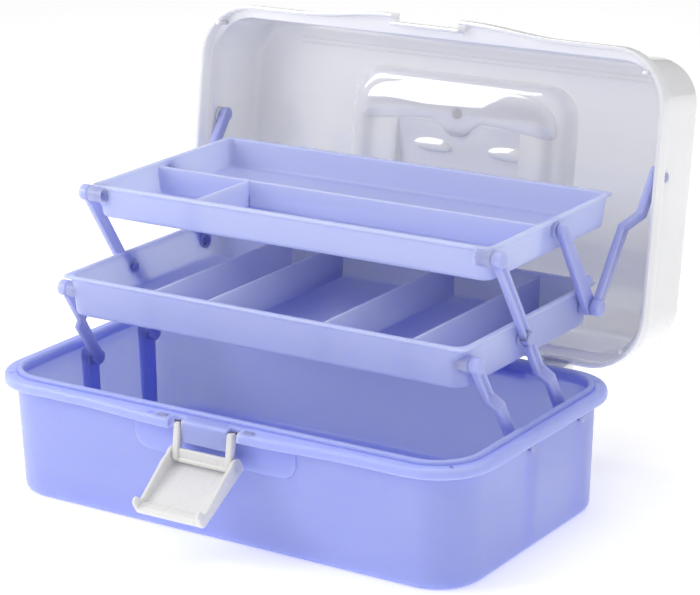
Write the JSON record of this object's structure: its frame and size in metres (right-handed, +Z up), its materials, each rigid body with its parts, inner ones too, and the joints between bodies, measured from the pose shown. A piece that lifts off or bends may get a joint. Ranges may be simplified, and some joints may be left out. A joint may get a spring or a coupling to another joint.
{
  "type": "art supply box",
  "caption": "Moulded plastic art supply box, shown open: a deep tub, two cantilever trays on parallel arms, and a hinged lid with folding handle and draw latch.",
  "frame": {"origin": "middle of the flat underside of the tub, which stands on the table", "axes": "+X along the box's length to the right as seen from the latch side, -Y towards the latch, +Y towards the lid hinge, +Z up"},
  "size_m": [0.31, 0.3097, 0.2476],
  "materials": {
    "tub_plastic": "smooth moulded polypropylene, soft gloss",
    "tray_plastic": "smooth moulded polypropylene, soft gloss",
    "arm_plastic": "smooth moulded polypropylene, soft gloss",
    "lid_plastic": "milky translucent polypropylene, glossy inside",
    "white_plastic": "smooth moulded white plastic",
    "pin_steel": "drawn wire"
  },
  "bodies": {
    "base": {"base_tub": "tub_plastic", "hinge_pin_left": "pin_steel", "hinge_pin_right": "pin_steel"},
    "lid": {"lid_shell": "lid_plastic"},
    "handle": {"carry_handle": "white_plastic"},
    "long_arms": {"long_arm_left": "arm_plastic", "long_arm_right": "arm_plastic"},
    "short_arms": {"short_arm_left": "arm_plastic", "short_arm_right": "arm_plastic"},
    "middle_tray": {"middle_tray": "tray_plastic"},
    "top_tray": {"top_tray": "tray_plastic"},
    "top_arms": {"top_arm_left": "arm_plastic", "top_arm_right": "arm_plastic"},
    "lid_arms": {"lid_arm_left": "arm_plastic", "lid_arm_right": "arm_plastic"},
    "latch_link": {"latch_link": "white_plastic"},
    "latch_lever": {"latch_lever": "white_plastic"}
  },
  "joints": [
    {"name": "lid_hinge", "type": "hinge", "parent": "base", "child": "lid", "pos_m": [0, 0.0935, 0.0635], "axis": [1, 0, 0], "range_deg": [0, 99]},
    {"name": "long_arms_hinge", "type": "hinge", "parent": "base", "child": "long_arms", "pos_m": [0, 0.0462, 0.059], "axis": [1, 0, 0], "range_deg": [0, 32.8]},
    {"name": "short_arms_hinge", "type": "hinge", "parent": "base", "child": "short_arms", "pos_m": [0, -0.007, 0.059], "axis": [1, 0, 0], "range_deg": [0, 32.8]},
    {"name": "middle_tray_hinge", "type": "hinge", "parent": "long_arms", "child": "middle_tray", "pos_m": [0, 0.0152, 0.1092], "axis": [1, 0, 0], "range_deg": [-32.8, 0]},
    {"name": "top_tray_hinge", "type": "hinge", "parent": "long_arms", "child": "top_tray", "pos_m": [0, -0.01581, 0.1594], "axis": [1, 0, 0], "range_deg": [-32.8, 0]},
    {"name": "top_arms_hinge", "type": "hinge", "parent": "middle_tray", "child": "top_arms", "pos_m": [0, 0.0834, 0.1084], "axis": [1, 0, 0], "range_deg": [0, 32.8]},
    {"name": "lid_arms_hinge", "type": "hinge", "parent": "lid", "child": "lid_arms", "pos_m": [0, 0.13384, 0.17203], "axis": [1, 0, 0], "range_deg": [0, 27.46]},
    {"name": "handle_hinge", "type": "hinge", "parent": "lid", "child": "handle", "pos_m": [0, 0.16451, 0.13275], "axis": [-1, 0, 0], "range_deg": [0, 90]},
    {"name": "latch_link_hinge", "type": "hinge", "parent": "base", "child": "latch_link", "pos_m": [0, -0.0904, 0.066], "axis": [-1, 0, 0], "range_deg": [0, 8]},
    {"name": "latch_lever_hinge", "type": "hinge", "parent": "latch_link", "child": "latch_lever", "pos_m": [0, -0.0926, 0.0489], "axis": [-1, 0, 0], "range_deg": [0, 120]}
  ],
  "couplings": [
    {"joint": "long_arms_hinge", "follows": "lid_hinge", "ratio": 0.3313},
    {"joint": "short_arms_hinge", "follows": "lid_hinge", "ratio": 0.3313},
    {"joint": "middle_tray_hinge", "follows": "lid_hinge", "ratio": -0.3313},
    {"joint": "top_tray_hinge", "follows": "lid_hinge", "ratio": -0.3313},
    {"joint": "top_arms_hinge", "follows": "lid_hinge", "ratio": 0.3313},
    {"joint": "lid_arms_hinge", "follows": "lid_hinge", "ratio": 0.27732}
  ]
}
